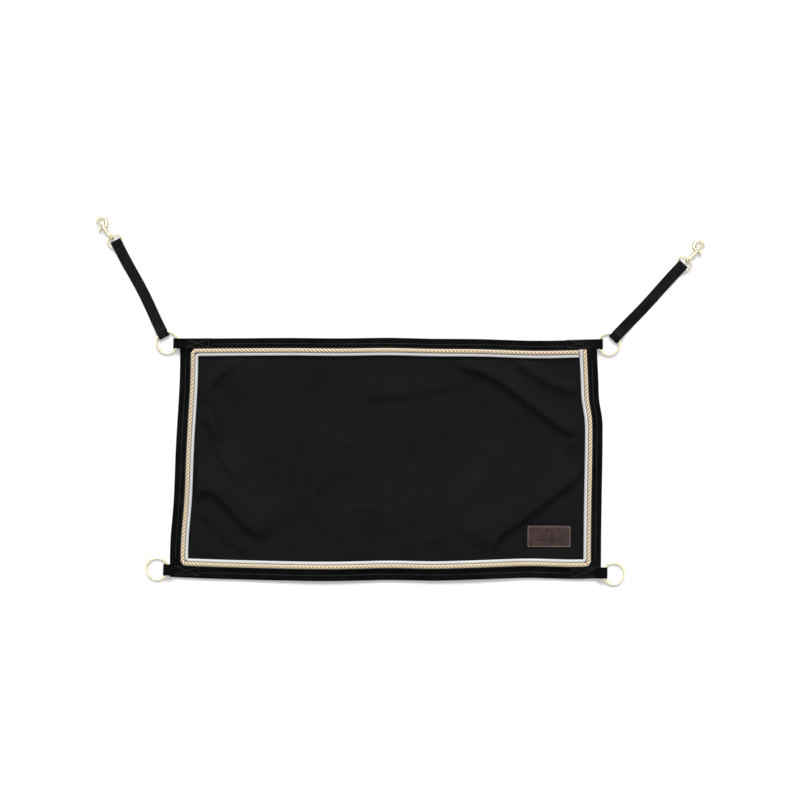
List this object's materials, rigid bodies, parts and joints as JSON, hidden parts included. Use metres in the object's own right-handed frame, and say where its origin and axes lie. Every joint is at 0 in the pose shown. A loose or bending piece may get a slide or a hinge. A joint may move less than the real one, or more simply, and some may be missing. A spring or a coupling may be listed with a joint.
{
  "type": "stable stall guard",
  "caption": "Black cloth stall guard edged with webbing and twisted rope, with a ring on a tab at each corner and straps with swivel bolt snaps on the upper rings.",
  "frame": {"origin": "middle of the panel's back face, on the surface that the guard lies on", "axes": "+X along the panel to the right seen from its front, +Y towards its top edge, +Z out of its front"},
  "size_m": [1.429, 0.8683, 0.0143],
  "materials": {
    "cloth": "fine ribbed polyester cloth, near black, slight sheen",
    "webbing": "black herringbone webbing, matt",
    "beige_rope": "twisted rope, camel",
    "white_rope": "twisted rope, white",
    "leather": "dark brown leather, semi-matt",
    "brass": "polished pale brass",
    "steel": "bright spring wire"
  },
  "bodies": {
    "panel": {"main_cloth": "cloth", "side_band_left": "webbing", "side_band_right": "webbing", "top_band": "webbing", "bottom_band": "webbing", "rope_trim_beige": "beige_rope", "rope_trim_white": "white_rope", "leather_patch": "leather", "ring_tab_top_left": "webbing", "ring_tab_top_right": "webbing", "ring_tab_bottom_left": "webbing", "ring_tab_bottom_right": "webbing"},
    "top_left_ring": {"ring_top_left": "brass"},
    "top_right_ring": {"ring_top_right": "brass"},
    "bottom_left_ring": {"ring_bottom_left": "brass"},
    "bottom_right_ring": {"ring_bottom_right": "brass"},
    "left_strap": {"strap_left": "webbing"},
    "left_eye": {"swivel_eye_left": "brass"},
    "left_hook": {"hook_body_left": "brass", "swivel_stud_left": "brass", "bolt_spring_left": "steel"},
    "left_bolt": {"bolt_left": "brass", "thumb_knob_left": "brass"},
    "right_strap": {"strap_right": "webbing"},
    "right_eye": {"swivel_eye_right": "brass"},
    "right_hook": {"hook_body_right": "brass", "swivel_stud_right": "brass", "bolt_spring_right": "steel"},
    "right_bolt": {"bolt_right": "brass", "thumb_knob_right": "brass"}
  },
  "joints": [
    {"name": "top_left_ring_turn", "type": "hinge", "parent": "panel", "child": "top_left_ring", "pos_m": [-0.49435, 0.2725, 0.0041], "axis": [0, 1, 0], "range_deg": [0, 120]},
    {"name": "top_right_ring_turn", "type": "hinge", "parent": "panel", "child": "top_right_ring", "pos_m": [0.49235, 0.2712, 0.0041], "axis": [0, -1, 0], "range_deg": [0, 120]},
    {"name": "bottom_left_ring_turn", "type": "hinge", "parent": "panel", "child": "bottom_left_ring", "pos_m": [-0.51835, -0.2603, 0.0041], "axis": [0.0366, 0.9993, 0], "range_deg": [0, 120]},
    {"name": "bottom_right_ring_turn", "type": "hinge", "parent": "panel", "child": "bottom_right_ring", "pos_m": [0.50305, -0.2676, 0.0041], "axis": [0, -1, 0], "range_deg": [0, 120]},
    {"name": "left_strap_swing", "type": "hinge", "parent": "top_left_ring", "child": "left_strap", "pos_m": [-0.5196, 0.274, 0.0041], "axis": [0, 0, 1], "range_deg": [-30, 140]},
    {"name": "right_strap_swing", "type": "hinge", "parent": "top_right_ring", "child": "right_strap", "pos_m": [0.5176, 0.2703, 0.0041], "axis": [0, 0, 1], "range_deg": [-130, 40]},
    {"name": "left_snap_fold", "type": "hinge", "parent": "left_strap", "child": "left_eye", "pos_m": [-0.6381, 0.5071, 0.0052], "axis": [0.7604, 0.6494, 0], "range_deg": [0, 150]},
    {"name": "left_snap_swivel", "type": "hinge", "parent": "left_eye", "child": "left_hook", "pos_m": [-0.6381, 0.5071, 0.0052], "axis": [-0.6494, 0.7604, 0], "continuous": true},
    {"name": "left_bolt_slide", "type": "slide", "parent": "left_hook", "child": "left_bolt", "axis": [0.6494, -0.7604, 0], "range_m": [0, 0.009], "stiffness_N_per_m": 350, "springref_m": -0.006, "deforming": ["bolt_spring_left"]},
    {"name": "right_snap_fold", "type": "hinge", "parent": "right_strap", "child": "right_eye", "pos_m": [0.6896, 0.4546, 0.0052], "axis": [0.7009, -0.7133, 0], "range_deg": [0, 150]},
    {"name": "right_snap_swivel", "type": "hinge", "parent": "right_eye", "child": "right_hook", "pos_m": [0.6896, 0.4546, 0.0052], "axis": [0.7133, 0.7009, 0], "continuous": true},
    {"name": "right_bolt_slide", "type": "slide", "parent": "right_hook", "child": "right_bolt", "axis": [-0.7133, -0.7009, 0], "range_m": [0, 0.009], "stiffness_N_per_m": 350, "springref_m": -0.006, "deforming": ["bolt_spring_right"]}
  ]
}
